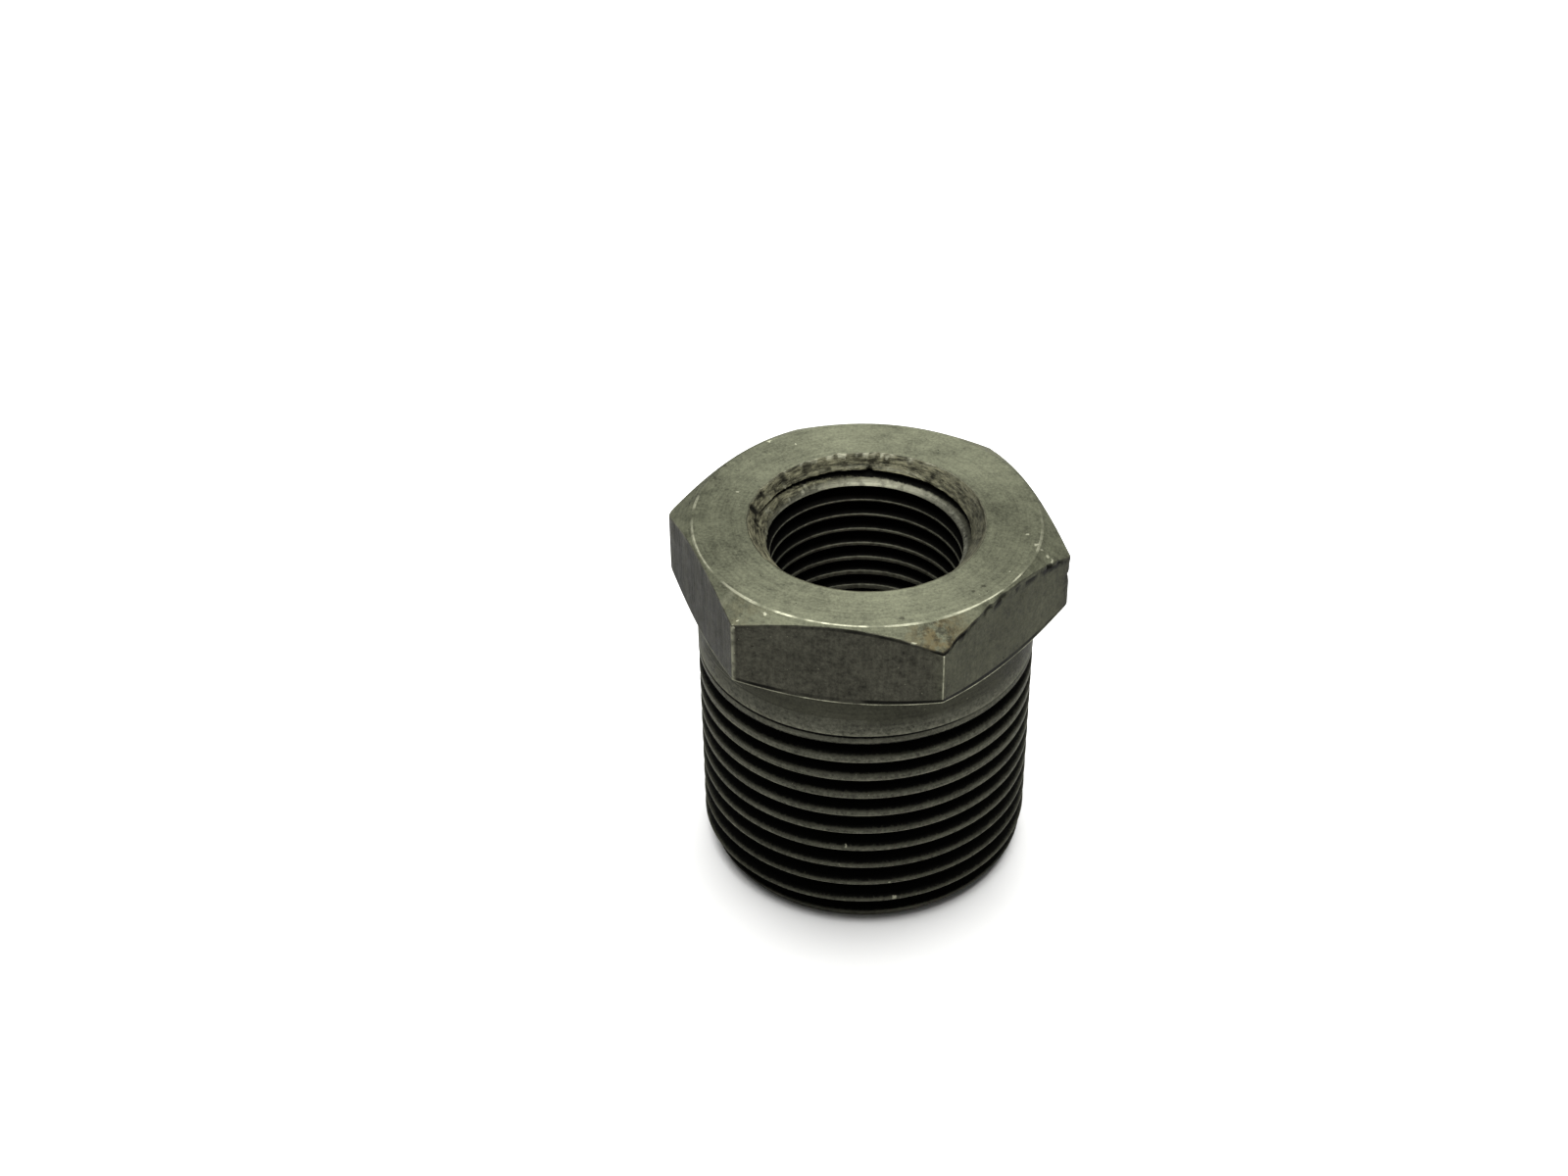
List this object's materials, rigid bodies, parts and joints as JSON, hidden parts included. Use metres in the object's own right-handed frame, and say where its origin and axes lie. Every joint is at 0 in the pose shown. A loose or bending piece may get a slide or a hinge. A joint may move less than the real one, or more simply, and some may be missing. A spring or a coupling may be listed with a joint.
{
  "type": "hex reducing bushing",
  "caption": "Steel hex reducing bushing: a hexagonal head on a taper-threaded shank, bored through and taper-threaded inside, that steps one pipe size down to another.",
  "frame": {"origin": "centre of the small end's flat face, on the bushing's axis", "axes": "+Z along the axis from the small end towards the hexagonal head; X through two opposite corners of the hexagon, Y through two opposite wrench flats"},
  "size_m": [0.0312, 0.027, 0.0298],
  "materials": {
    "steel": "oiled, satin, grey with an olive cast; turned and milled faces with fine tool marks"
  },
  "bodies": {
    "root": {"hex_bushing": "steel"}
  },
  "joints": []
}
